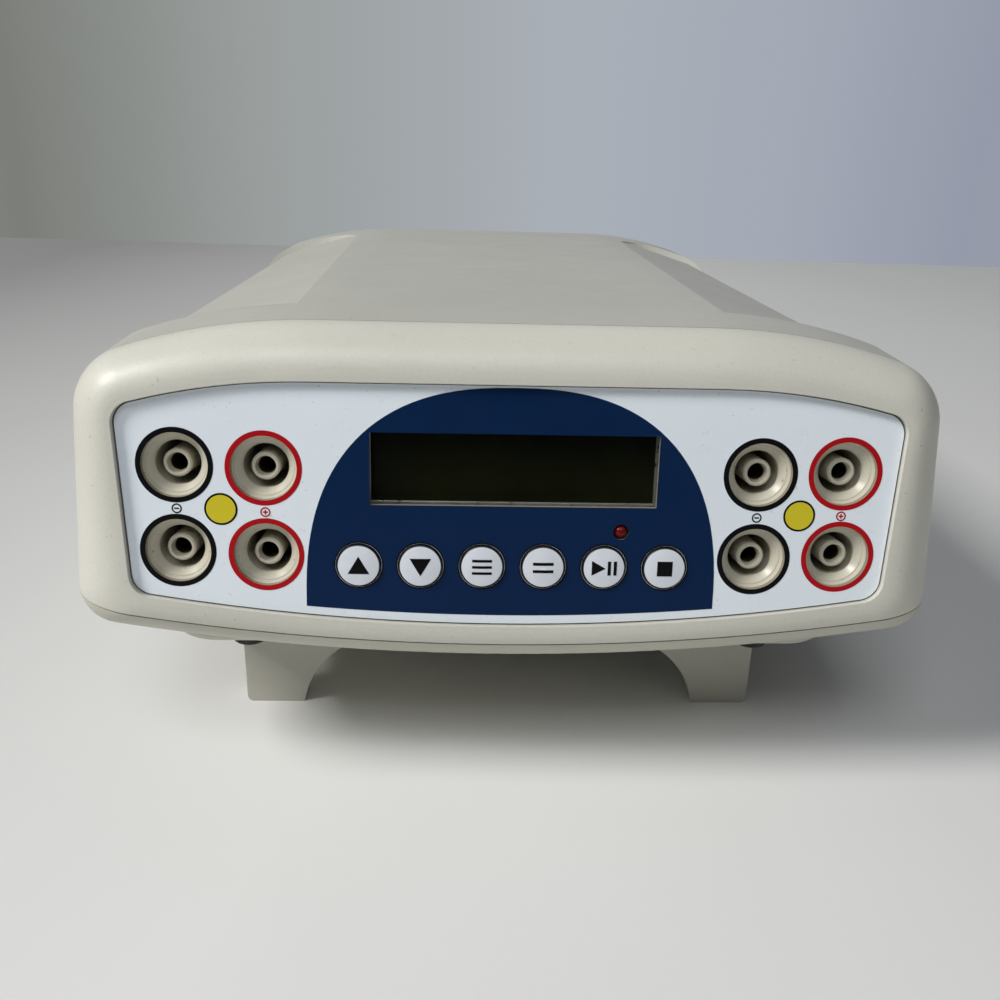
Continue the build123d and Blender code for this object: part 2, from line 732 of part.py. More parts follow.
def bottom_cover():
    """Lower shell: bowed edge, flat pan, stand pocket, bosses and vents."""
    form = front_roll(0.0, RIM, 0.0) + rear_form() + rear_roll()
    form = form & split_half(False, -SEAM_GAP / 2)
    y_size = PAN_REAR_Y - PAN_FRONT_Y
    pan = Location((0, PAN_FRONT_Y, 0)) * Box(
        2 * PAN_HALF, y_size, PAN_TOP_Z, align=(Align.CENTER, Align.MIN, Align.MIN)
    )
    pan = fillet(pan.edges().filter_by(Axis.Z), PAN_CORNER_R)
    pan = fillet(pan.edges().group_by(Axis.Z)[0], PAN_EDGE_R)
    inner_pan = Location((0, PAN_FRONT_Y + WALL, WALL)) * Box(
        2 * (PAN_HALF - WALL), y_size - 2 * WALL, 30.0, align=(Align.CENTER, Align.MIN, Align.MIN)
    )
    inner_pan = fillet(inner_pan.edges().filter_by(Axis.Z), PAN_CORNER_R - WALL)
    inner_roll = front_roll(WALL, -(OVERLAY_T + PLATE_T), 2.0)
    cavity = inner_roll + cavity_form()
    outside = form + (pan & split_half(False, -SEAM_GAP / 2))
    shell = outside - cavity - inner_pan
    opening = extrude(upright(ROLL_Y - 1) * outline(body_shape(REAR_LIP, BAND_RISE)), -20)
    shell = shell - opening
    shell = shell + stand_pocket(WALL) - stand_pocket(0.0)
    trunnion = Location((0, PIVOT_Y, PIVOT_Z), (0, 90, 0)) * Cylinder(
        TRUNNION_R + TRUNNION_FIT, 2 * (STAND_HALF + 0.4 + TRUNNION_L + 0.2)
    )
    shell = shell - trunnion
    for x, y in CASE_SCREWS:
        shell = shell + Location((x, y, 0)) * disc(5.0, 0.0, 23.8)
        shell = shell - Location((x, y, 0)) * disc(3.6, -1.0, 12.0)
        shell = shell - Location((x, y, 0)) * disc(1.7, 0.0, 30.0)
    for x, y in foot_places():
        shell = shell + Location((x, y, 0)) * disc(3.4, 1.0, 11.0)
        shell = shell - Location((x, y, 0)) * disc(1.3, -1.0, 9.0)
    for x, y in board_posts():
        post = disc(3.5, 1.0, MAIN_BOARD_Z) - disc(1.2, 6.0, MAIN_BOARD_Z + 1)
        shell = shell + Location((x, y, 0)) * post
    for cut in base_vents():
        shell = shell - cut
    return shell


def tilt_stand():
    """Wide plate on trunnions, with an arch between its two legs."""
    half_t = STAND_T / 2
    side = make_face(
        [
            Line((PIVOT_Y - half_t, PIVOT_Z), (PIVOT_Y - half_t, STAND_TIP_Z - 3)),
            Line((PIVOT_Y - half_t, STAND_TIP_Z - 3), (PIVOT_Y + half_t, STAND_TIP_Z - 3)),
            Line((PIVOT_Y + half_t, STAND_TIP_Z - 3), (PIVOT_Y + half_t, PIVOT_Z)),
            ThreePointArc(
                (PIVOT_Y + half_t, PIVOT_Z), (PIVOT_Y, PIVOT_Z + half_t), (PIVOT_Y - half_t, PIVOT_Z)
            ),
        ]
    )
    slab = extrude(Plane.YZ * side, STAND_HALF, both=True)
    centre_z = ARCH_Z - ARCH_R
    arch = make_face(
        [
            Line((-ARCH_FLAT, ARCH_Z), (ARCH_FLAT, ARCH_Z)),
            RadiusArc((ARCH_FLAT, ARCH_Z), (ARCH_FLAT + ARCH_R, centre_z), ARCH_R),
            Line((ARCH_FLAT + ARCH_R, centre_z), (-ARCH_FLAT - ARCH_R, centre_z)),
            RadiusArc((-ARCH_FLAT - ARCH_R, centre_z), (-ARCH_FLAT, ARCH_Z), ARCH_R),
        ]
    )
    slab = slab - extrude(upright(0) * arch, -FAR)
    slab = slab - Rotation(TILT, 0, 0) * block((-FAR, FAR), (-FAR, FAR), (-FAR, bench_level()))
    tips = [e for e in slab.edges() if is_tip_corner(e)]
    slab = fillet(tips, 1.8)
    pin = Location((0, PIVOT_Y, PIVOT_Z), (0, 90, 0)) * Cylinder(
        TRUNNION_R, 2 * (STAND_HALF + 0.4 + TRUNNION_L)
    )
    return slab + pin


def is_tip_corner(edge):
    """True for the outer corner under each leg, which runs front to back."""
    middle = edge.center()
    low = middle.Z < STAND_TIP_Z + 2.0
    return low and abs(middle.X) > STAND_HALF - 0.01 and abs(edge.tangent_at(0.5).Y) > 0.9


def bench_level():
    """Height of the bench under the leaned unit, where the rear feet touch it."""
    rear_foot = Location((FOOT_X, FOOT_REAR_Y, 0)) * rubber_foot()
    return (Rotation(-TILT, 0, 0) * rear_foot).bounding_box().min.Z


def foot_places():
    """Centres of the four rubber feet."""
    return [(x, y) for y in (FOOT_FRONT_Y, FOOT_REAR_Y) for x in (-FOOT_X, FOOT_X)]


def rubber_foot():
    """Tapered rubber foot with a recess for its screw."""
    profile = make_face(
        [
            Line((1.7, -0.03), (FOOT_R, -0.03)),
            Line((FOOT_R, -0.03), (FOOT_R - 0.5, -FOOT_H + 0.8)),
            ThreePointArc(
                (FOOT_R - 0.5, -FOOT_H + 0.8), (FOOT_R - 0.8, -FOOT_H + 0.22), (FOOT_R - 1.4, -FOOT_H)
            ),
            Line((FOOT_R - 1.4, -FOOT_H), (3.1, -FOOT_H)),
            Line((3.1, -FOOT_H), (3.1, -2.0)),
            Line((3.1, -2.0), (1.7, -2.0)),
            Line((1.7, -2.0), (1.7, -0.03)),
        ]
    )
    return revolve(Plane.XZ * profile, Axis.Z)


def foot_screws():
    """Screws through the feet."""
    screw = Rotation(180, 0, 0) * pan_screw(2.7, 1.6, 1.2, 10.0)
    return Compound([Location((x, y, -2.05)) * screw for x, y in foot_places()])


def case_screws():
    """Long screws that hold the two covers together, from below."""
    screw = Rotation(180, 0, 0) * pan_screw(3.2, 2.2, 1.2, 26.0)
    return Compound([Location((x, y, 11.95)) * screw for x, y in CASE_SCREWS])


# Rear panel


def at_rear(shape, x, z, y=PANEL_REAR_Y):
    """Puts a shape drawn facing +Z on the rear panel, facing the back, its +Y up."""
    return Location((x, y, z), (-90, 0, 180)) * shape


def rear_grille():
    """Slots of the rear vent."""
    return [(38.0, 26.0 + i * 5.2) for i in range(9)]


def rear_panel():
    """Plate between the covers, cut out for inlet, switch and vent."""
    plate = extrude(
        upright(PANEL_REAR_Y - PANEL_REAR_T) * outline(body_shape(WALL + 0.2, BAND_RISE)), -PANEL_REAR_T
    )
    plate = plate - block((-FAR, FAR), (200, 300), (-FAR, 7.4))
    cut = Box(27.6, 32.6, 40)
    plate = plate - at_rear(cut, INLET_X, INLET_Z)
    plate = plate - at_rear(Box(13.2, 19.8, 40), SWITCH_X, SWITCH_Z)
    for x, z in rear_grille():
        plate = plate - at_rear(extrude(SlotOverall(62.0, 2.6), 10.0, both=True), x, z)
    for dx in (-20.0, 20.0):
        plate = plate - at_rear(disc(1.7, -10, 10), INLET_X + dx, INLET_Z)
    return plate


def inlet_body():
    """Mains inlet: flange, plug cavity with chamfered corners and a bay for the fuse drawer."""
    flange = extrude(RectangleRounded(48.0, 36.0, 6.0), 2.6)
    flange = Location((0, 0, 0.05)) * flange
    body = flange + pad(27.2, 32.2, -26.0, 1.0)
    cavity = make_face(
        Polyline(
            (-12.1, -3.6), (-12.1, 6.6), (-5.9, 12.8), (5.9, 12.8), (12.1, 6.6), (12.1, -3.6),
            close=True,
        )
    )
    cavity = extrude(cavity, PLUG_DEPTH + 5)
    body = body - Location((0, 0, FLANGE_FRONT - PLUG_DEPTH)) * cavity
    body = body - pad(22.4, 7.4, -22.0, 18.0, y=DRAWER_DOWN)
    for dx in (-20.0, 20.0):
        body = body - Location((dx, 0, 0)) * disc(1.7, -5, 5)
        body = body - Location((dx, 0, 0)) * disc(3.2, 1.2, 5)
    for x, y in inlet_pin_places():
        body = body - Location((x, y, -20)) * Box(2.2, 4.2, 14.0)
    return at_rear(body, INLET_X, INLET_Z)


def inlet_pin_places():
    """Earth pin in the middle, live and neutral to the sides."""
    return [(0.0, 6.6), (-7.0, 2.2), (7.0, 2.2)]


def inlet_pins():
    """Flat pins of the inlet and their tabs."""
    group = []
    for x, y in inlet_pin_places():
        pin = pad(2.0, 4.0, -30.0, 0.2, x, y)
        pin = chamfer(pin.edges().group_by(Axis.Z)[-1], 0.6)
        group.append(at_rear(pin, INLET_X, INLET_Z))
    return Compound(group)


def fuse_drawer():
    """Sliding drawer under the inlet, with a tray for the fuses and a grip lip."""
    tray = pad(21.8, 6.8, -21.6, 3.2, y=DRAWER_DOWN)
    hollow = pad(19.6, 6.8, -20.4, -0.2, y=DRAWER_DOWN + 1.0)
    grip = pad(9.0, 1.6, 3.2, 4.4, y=DRAWER_DOWN - 2.4)
    return at_rear(tray - hollow + grip, INLET_X, INLET_Z)


def fuses():
    """Glass fuses side by side in the drawer."""
    group = []
    for dx in (-4.4, 4.4):
        tube = disc(2.45, -20.0, -0.6)
        group.append(at_rear(tube, INLET_X + dx, INLET_Z - 9.35))
    return Compound(group)


def switch_frame():
    """Frame of the mains switch, snapped into the rear panel."""
    rim = extrude(RectangleRounded(15.0, 21.6, 1.2), 1.8)
    rim = Location((0, 0, 0.05)) * rim
    body = rim + pad(12.9, 19.5, -17.0, 1.0) - pad(10.6, 17.6, -7.0, 13.0)
    pin = Location((0, 0, -ROCKER_AXIS), (0, 90, 0)) * Cylinder(0.76, 12.2)
    tabs = join([pad(4.8, 0.8, -25.0, -16.0, y=dy) for dy in (-6.0, 0.0, 6.0)])
    return at_rear(body - pin + tabs, SWITCH_X, SWITCH_Z)


def switch_rocker():
    """Rocker that tips about its pins; at rest its lower end is pressed in."""
    profile = make_face(
        [
            Line((-8.3, 1.6), (-7.4, -3.4)),
            Line((-7.4, -3.4), (7.4, -3.4)),
            Line((7.4, -3.4), (8.3, 1.6)),
            ThreePointArc((8.3, 1.6), (0, 0.7), (-8.3, 1.6)),
        ]
    )
    rocker = extrude(Plane.YZ * profile, 5.0, both=True)
    rocker = rocker + Location((0, 0, 0), (0, 90, 0)) * Cylinder(0.7, 11.6)
    rocker = Location((0, 0, -ROCKER_AXIS), (-ROCKER_TILT, 0, 0)) * rocker
    return at_rear(rocker, SWITCH_X, SWITCH_Z)


def inlet_screws():
    """Countersunk screws of the inlet's flange."""
    group = []
    for dx in (-20.0, 20.0):
        screw = disc(2.9, 0, 1.3) + disc(1.4, -8.0, 0)
        group.append(at_rear(screw, INLET_X + dx, INLET_Z, PANEL_REAR_Y + 1.3))
    return Compound(group)


# Boards and power parts inside


def board_posts():
    """Places of the main board's posts."""
    return [(x, y) for x in (-66.0, 66.0) for y in (92.0, 178.0, 254.0)]


def main_board():
    """Main board, drilled for its screws."""
    board = block((-72.0, 72.0), (86.0, 260.0), (MAIN_BOARD_Z + 0.02, MAIN_BOARD_Z + BOARD_T))
    for x, y in board_posts():
        board = board - Location((x, y, 0)) * disc(1.7, 0, 30)
    return board


def board_screws():
    """Screws that hold the main board on its posts."""
    z = MAIN_BOARD_Z + BOARD_T + 0.03
    screw = pan_screw(2.8, 1.8, 1.1, 7.5)
    return Compound([Location((x, y, z)) * screw for x, y in board_posts()])


def transformer_core():
    """Laminated core with two windows."""
    core = block((-62.0, -6.0), (196.0, 236.0), (BOARD_TOP, BOARD_TOP + CORE_H))
    for x in ((-52.6, -43.2), (-24.8, -15.4)):
        core = core - block(x, (190.0, 240.0), (BOARD_TOP + 9.3, BOARD_TOP + 37.7))
    return core


def transformer_winding():
    """Coil on the core's middle leg."""
    coil = block((-52.2, -15.8), (188.0, 244.0), (BOARD_TOP + 9.7, BOARD_TOP + 37.3))
    coil = fillet(coil.edges().filter_by(Axis.Z), 4.0)
    coil = coil - block((-43.6, -24.4), (195.6, 236.4), (BOARD_TOP, BOARD_TOP + CORE_H))
    return coil - transformer_core()


def heatsink():
    """Finned extrusion that stands on the main board."""
    sink = block((40.0, 44.0), SINK_Y, (BOARD_TOP, BOARD_TOP + SINK_H))
    for i in range(FINS):
        z = BOARD_TOP + 1.0 + i * FIN_PITCH
        sink = sink + block((43.0, 62.0), SINK_Y, (z, z + 1.6))
    return sink


def power_transistors():
    """Flat-packed transistors clamped to the heatsink."""
    group = []
    for i in range(4):
        y = SINK_Y[0] + 12.0 + i * 22.0
        case = block((35.4, 39.95), (y, y + 10.4), (BOARD_TOP + 8.0, BOARD_TOP + 23.5))
        for k in range(3):
            leg = y + 1.7 + k * 2.8
            case = case + block((37.0, 37.8), (leg, leg + 1.0), (BOARD_TOP, BOARD_TOP + 9.0))
        group.append(case)
    return Compound(group)


def filter_capacitors():
    """Two pairs of electrolytic capacitors standing on the main board."""
    group = []
    for x, y, radius, height in CANS:
        can = Location((x, y, 0)) * disc(radius, BOARD_TOP, BOARD_TOP + height)
        group.append(chamfer(can.edges().group_by(Axis.Z)[-1], 1.0))
    return Compound(group)


def relays():
    """Output relays and the board connector for the ribbon."""
    group = [block((-12.0, 18.0), (89.0, 95.0), (BOARD_TOP, BOARD_TOP + 9.0))]
    for i in range(RELAYS):
        y = 100.0 + i * RELAY_PITCH
        group.append(block((8.0, 27.0), (y, y + 15.0), (BOARD_TOP, BOARD_TOP + 15.5)))
    return Compound(group)


def ribbon_cable():
    """Flat cable from the control board down to the main board's connector."""
    start = (0.0, 20.0, 30.0)
    line = FilletPolyline(
        start, (0.0, 40.0, 30.0), (0.0, 92.0, 46.0), (0.0, 92.0, BOARD_TOP + 9.1), radius=6.0
    )
    profile = Plane(origin=start, z_dir=(0, 1, 0), x_dir=(1, 0, 0)) * Rectangle(25.0, 0.9)
    return sweep(profile, path=line)


# Every node, then where the whole unit stands


def assembly():
    """All pieces in the chassis frame, by node name."""
    parts = {
        "front_bezel": front_bezel(),
        "front_overlay": front_overlay(),
        "display_window": display_window(),
        "lcd_frame": lcd_frame(),
        "lcd_glass": lcd_glass(),
        "lcd_board": lcd_board(),
        "lcd_spacers": lcd_spacers(),
        "control_board": control_board(),
        "control_screws": control_screws(),
        "key_switches": key_switches(),
        "run_led": run_led(),
        "negative_contacts": contacts(True),
        "positive_contacts": contacts(False),
        "output_board_left": output_board("left"),
        "output_board_right": output_board("right"),
        "top_cover": top_cover(),
        "bottom_cover": bottom_cover(),
        "tilt_stand": tilt_stand(),
        "foot_screws": foot_screws(),
        "case_screws": case_screws(),
        "rear_panel": rear_panel(),
        "inlet_body": inlet_body(),
        "inlet_pins": inlet_pins(),
        "inlet_screws": inlet_screws(),
        "fuse_drawer": fuse_drawer(),
        "fuses": fuses(),
        "switch_frame": switch_frame(),
        "switch_rocker": switch_rocker(),
        "main_board": main_board(),
        "board_screws": board_screws(),
        "transformer_core": transformer_core(),
        "transformer_winding": transformer_winding(),
        "heatsink": heatsink(),
        "power_transistors": power_transistors(),
        "filter_capacitors": filter_capacitors(),
        "relays": relays(),
        "ribbon_cable": ribbon_cable(),
    }
    for name, (u, v) in key_places().items():
        parts[f"key_{name}"] = on_panel(key_cap(), u, v)
    for name, (u, v) in SOCKETS.items():
        parts[f"socket_{name}"] = on_panel(socket_insert(), u, v)
    for (x, y), name in zip(foot_places(), FOOT_NAMES):
        parts[f"foot_{name}"] = Location((x, y, 0)) * rubber_foot()
    return parts


def settle_location(parts):
    """Leans the unit back onto its stand and rear feet, and centres it over the origin."""
    lean = Rotation(-TILT, 0, 0)
    boxes = [(lean * shape).bounding_box() for shape in parts.values()]
    front = min(box.min.Y for box in boxes)
    back = max(box.max.Y for box in boxes)
    bottom = min(box.min.Z for box in boxes)
    return Location((0, -(front + back) / 2, -bottom)) * lean


def main():
    os.makedirs("parts", exist_ok=True)
    parts = assembly()
    place = settle_location(parts)
    for name, shape in parts.items():
        export_step(place * shape, f"parts/{name}.step")


if __name__ == "__main__":
    main()
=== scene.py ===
import json
import math

import bmesh
import bpy
from mathutils import Euler, Matrix, Vector


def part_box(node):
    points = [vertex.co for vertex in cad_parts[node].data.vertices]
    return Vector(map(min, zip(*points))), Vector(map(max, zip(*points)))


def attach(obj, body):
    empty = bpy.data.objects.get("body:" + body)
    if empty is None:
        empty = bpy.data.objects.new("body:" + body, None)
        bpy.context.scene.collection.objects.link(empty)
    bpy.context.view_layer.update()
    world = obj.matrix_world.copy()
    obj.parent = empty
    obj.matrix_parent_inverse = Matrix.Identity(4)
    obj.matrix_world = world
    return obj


# Everything is in metres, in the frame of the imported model. Shapes drawn on the front panel or
# on the rear panel are given in millimetres across and up that panel, and scaled by MM.
MM = 0.001

# Camera, placed in millimetres and degrees from the front panel
LENS_MM = 34.11
SENSOR_MM = 36.0
CAMERA_AT = (-12.682, 94.022, 210.907)
CAMERA_TURN_DEG = (-13.8597, -2.2388, 1.2963)

# Room: SKY lights the object from all round. WALL_SHADES is the wall that the camera sees, given by
# the view's direction across. Gloss and glass show that wall, fading into a dim ROOM towards the
# front and into a pale CEILING overhead.
SKY = (0.028, 0.032, 0.038)
ROOM = (0.05, 0.052, 0.055)
CEILING = (0.85, 0.87, 0.9)
WALL_FADE = (0.3, 0.9)
CEILING_FADE = (0.25, 0.7)
WALL_SHADES = (
    (-0.80, (0.36, 0.38, 0.40)),
    (-0.40, (0.20, 0.21, 0.19)),
    (-0.20, (0.32, 0.34, 0.335)),
    (0.10, (0.40, 0.43, 0.475)),
    (0.30, (0.37, 0.40, 0.465)),
    (0.46, (0.30, 0.325, 0.40)),
    (0.80, (0.36, 0.38, 0.40)),
)

# Lamps
KEY_AT = (-1.27, -0.473, 1.264)
KEY_SIZE = (0.46, 0.46)
KEY_WATTS = 26.0
KEY_COLOUR = (1.0, 0.99, 0.965)
FILL_AT = (-0.3, -1.2, 1.9)
FILL_SIZE = (1.0, 0.8)
FILL_WATTS = 12.0
FILL_COLOUR = (0.95, 0.98, 1.0)
LIGHT_TARGET = (0.0, -0.05, 0.06)

# Bench: its rear edge has one depth at the left end and another at the right end, and its top
# carries a painted shade that darkens it along one direction
BENCH_HALF = 3.0
BENCH_FRONT_Y = -3.0
BENCH_REAR_Y = (0.60, 0.43)
PAINTED_SHADE_TOWARDS = (-1.0, 0.35, 0.0)
PAINTED_SHADE_REACH = 0.5
PAINTED_SHADE_SHARE = 0.36

# Front panel, in millimetres: what is printed on the sheet
REFERENCE_SOCKET = "socket_left_outer_upper"
REFERENCE_AT = (-76.6, 49.3, -15.61)
PRINT_T = 0.03
PRINT_LIFT = 0.01
ARCH_HALF = 47.9
ARCH_BASE = 16.1
ARCH_RISE = 51.8
ARCH_POWER = 2.5
ARCH_DIP = 2.0
ARCH_STEPS = 60
ARCH_BASE_STEPS = 24
KEY_V = 26.2
KEY_HOLE_R = 5.4
KEY_RING_R = 5.72
KEY_FLAT_R = 4.5
KEY_CROWN_N = 1.02
KEY_CROWN_RISE = 0.32
LAMP_AT = (25.1, 34.8)
LAMP_HOLE_R = 1.8
WINDOW_HALF = 33.0
WINDOW_V = (40.6, 57.4)
RING_IN_R = 7.45
RING_OUT_R = 8.65
SIGN_R = 1.15
SIGN_STROKE = 0.3
SIGN_BAR = 0.95 * SIGN_R
DOT_R = 3.3
DOT_RING_R = 3.75
MARK_V = 39.2
DOT_U = 66.7
INNER_SIGN = (56.7, 38.6)
OUTER_SIGN = (76.6, 39.25)

# Mains switch, in millimetres from the rocker's pivot
ROCKER_REST_DEG = -12.0
ROCKER_MARK_Y = 5.2
ROCKER_DISH_R = 38.7
ROCKER_DISH_N = 0.7

# How square to the front panel a face has to be: where a key's rim of painted shade ends, and where
# the front sheet's cut edge ends
SHADED_RIM_FACING = (0.86, 0.93)
CUT_FACING = (0.4, 0.7)

# Values between which most of a noise lies
NOISE_MIDDLE = (0.3, 0.7)

# Plain colours of the shaders
WHITE = (1, 1, 1, 1)
BLACK = (0, 0, 0, 1)
# Colour of dust, also painted as shade into the corners of moulded plastic
DUST_AND_SHADE = (0.10, 0.085, 0.06, 1)
SPECK = (0.5, 0.45, 0.38, 1)
FILM_DUST = (0.82, 0.8, 0.76, 1)
# Near-black painted shade along the walls that the front sheet meets
PAINTED_EDGE_SHADE = (0.02, 0.018, 0.015, 1)

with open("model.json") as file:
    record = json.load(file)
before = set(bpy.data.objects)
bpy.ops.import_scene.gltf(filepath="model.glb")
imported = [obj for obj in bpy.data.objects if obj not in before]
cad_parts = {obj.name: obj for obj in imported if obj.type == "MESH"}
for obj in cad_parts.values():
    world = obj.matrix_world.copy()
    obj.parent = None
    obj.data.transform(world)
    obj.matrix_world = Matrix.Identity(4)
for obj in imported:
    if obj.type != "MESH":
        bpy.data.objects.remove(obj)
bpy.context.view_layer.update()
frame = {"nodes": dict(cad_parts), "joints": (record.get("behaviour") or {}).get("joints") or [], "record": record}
NODES = frame["nodes"]
RECORD = frame["record"]
JOINTS = {joint["name"]: joint for joint in frame["joints"]}
MOUNTS = {mount["name"]: mount for mount in RECORD["mounts"]}
ACROSS = Vector((1, 0, 0))


# Places on the object


def plane_matrix(origin, right, normal):
    """Frame with X to the right and Z out of a panel."""
    up = normal.cross(right)
    turn = Matrix((right, up, normal)).transposed().to_4x4()
    return Matrix.Translation(origin) @ turn


def front_panel():
    """Frame of the printed sheet's face, worked out from one socket's mount."""
    normal = Vector(MOUNTS[REFERENCE_SOCKET]["axis"]).normalized()
    at_origin = plane_matrix((0, 0, 0), ACROSS, normal)
    offset = at_origin @ (Vector(REFERENCE_AT) * MM)
    return plane_matrix(Vector(MOUNTS[REFERENCE_SOCKET]["pos_m"]) - offset, ACROSS, normal)


PANEL = front_panel()


def on_panel(u, v, n=0.0):
    """Frame at a place on the front panel, in millimetres."""
    return PANEL @ Matrix.Translation(Vector((u, v, n)) * MM)


def panel_place(point):
    """Millimetres across and up the front panel of a point of the model."""
    return (PANEL.inverted() @ Vector(point)) / MM


def rocker_place(y):
    """Frame on the dished face of the rocker, y millimetres from its middle."""
    joint = JOINTS["mains_switch"]
    normal = Vector(JOINTS["fuse_drawer_slide"]["axis"]).normalized()
    base = plane_matrix(joint["pos_m"], -ACROSS, normal)
    rise = ROCKER_DISH_N + ROCKER_DISH_R - math.sqrt(ROCKER_DISH_R**2 - y**2)
    place = base @ Matrix.Rotation(math.radians(ROCKER_REST_DEG), 4, "X")
    place = place @ Matrix.Translation(Vector((0, y, rise + PRINT_LIFT)) * MM)
    return place @ Matrix.Rotation(math.asin(y / ROCKER_DISH_R), 4, "X")


# Outlines in millimetres


def circle(radius, at=(0.0, 0.0), count=72):
    """Closed round outline."""
    turns = [2 * math.pi * i / count for i in range(count)]
    return [(at[0] + radius * math.cos(t), at[1] + radius * math.sin(t)) for t in turns]


def rectangle(width, height, at=(0.0, 0.0)):
    """Closed rectangle about a centre."""
    x, y = width / 2, height / 2
    return [(at[0] + a * x, at[1] + b * y) for a, b in ((-1, -1), (1, -1), (1, 1), (-1, 1))]


def arch_outline():
    """Rounded arch of the dark print: a superellipse on a base that dips in the middle."""
    points = []
    for i in range(ARCH_STEPS + 1):
        turn = math.pi * i / ARCH_STEPS
        c, s = math.cos(turn), math.sin(turn)
        u = math.copysign(abs(c) ** (2 / ARCH_POWER), c) * ARCH_HALF
        points.append((u, ARCH_BASE + ARCH_RISE * abs(s) ** (2 / ARCH_POWER)))
    for i in range(1, ARCH_BASE_STEPS):
        u = -ARCH_HALF + 2 * ARCH_HALF * i / ARCH_BASE_STEPS
        points.append((u, ARCH_BASE - ARCH_DIP * (1 - (u / ARCH_HALF) ** 2)))
    return points


# Making pieces


def link(name, mesh, place):
    """Adds a mesh to the scene as an object at a place."""
    piece = bpy.data.objects.new(name, mesh)
    bpy.context.scene.collection.objects.link(piece)
    piece.matrix_world = place
    return piece


def flat_piece(name, outlines, place, thick=PRINT_T):
    """Thin filled sheet; an outline inside another one is a hole."""
    curve = bpy.data.curves.new(name, "CURVE")
    curve.dimensions = "2D"
    curve.fill_mode = "BOTH"
    curve.extrude = thick / 2 * MM
    for outline in outlines:
        spline = curve.splines.new("POLY")
        spline.points.add(len(outline) - 1)
        for point, (x, y) in zip(spline.points, outline):
            point.co = (x * MM, y * MM, 0.0, 1.0)
        spline.use_cyclic_u = True
    holder = bpy.data.objects.new(name + "_curve", curve)
    bpy.context.scene.collection.objects.link(holder)
    mesh = bpy.data.meshes.new_from_object(holder)
    bpy.data.objects.remove(holder)
    bpy.data.curves.remove(curve)
    mesh.name = name
    return link(name, mesh, place @ Matrix.Translation((0, 0, (thick / 2 + PRINT_LIFT) * MM)))


def finish_piece(piece, body, material):
    """Gives a piece its material and the body that it rides on."""
    piece.data.materials.clear()
    piece.data.materials.append(material)
    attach(piece, body)
    return piece


def bend_to_crown(piece):
    """Lays a print on the shallow dome of a key."""
    mesh = bmesh.new()
    mesh.from_mesh(piece.data)
    bmesh.ops.subdivide_edges(mesh, edges=mesh.edges[:], cuts=3, use_grid_fill=True)
    ball = (KEY_FLAT_R**2 + KEY_CROWN_RISE**2) / (2 * KEY_CROWN_RISE) * MM
    for corner in mesh.verts:
        away = corner.co.x**2 + corner.co.y**2
        corner.co.z -= ball - math.sqrt(ball**2 - away)
    mesh.to_mesh(piece.data)
    mesh.free()


# Materials


def linear(red, green, blue):
    """Linear colour from sRGB values of 0 to 255."""
    def one(value):
        share = value / 255
        return share / 12.92 if share <= 0.04045 else ((share + 0.055) / 1.055) ** 2.4
    return (one(red), one(green), one(blue), 1.0)


def scaled(colour, factor):
    """A colour made lighter or darker."""
    return tuple(min(1.0, c * factor) for c in colour[:3]) + (1.0,)


def mix_node(tree, share, first, second, mode="MIX"):
    """Mixes two colours; each value is a socket or a plain value."""
    node = tree.nodes.new("ShaderNodeMix")
    node.data_type = "RGBA"
    node.blend_type = mode
    for value, index in ((share, 0), (first, 6), (second, 7)):
        if hasattr(value, "is_linked"):
            tree.links.new(value, node.inputs[index])
        else:
            node.inputs[index].default_value = value
    return node.outputs[2]


def range_node(tree, source, low, high, first=0.0, second=1.0):
    """Maps a value from the range low to high onto the range first to second."""
    node = tree.nodes.new("ShaderNodeMapRange")
    values = {"From Min": low, "From Max": high, "To Min": first, "To Max": second}
    for name, value in values.items():
        node.inputs[name].default_value = value
    tree.links.new(source, node.inputs["Value"])
    return node.outputs["Result"]


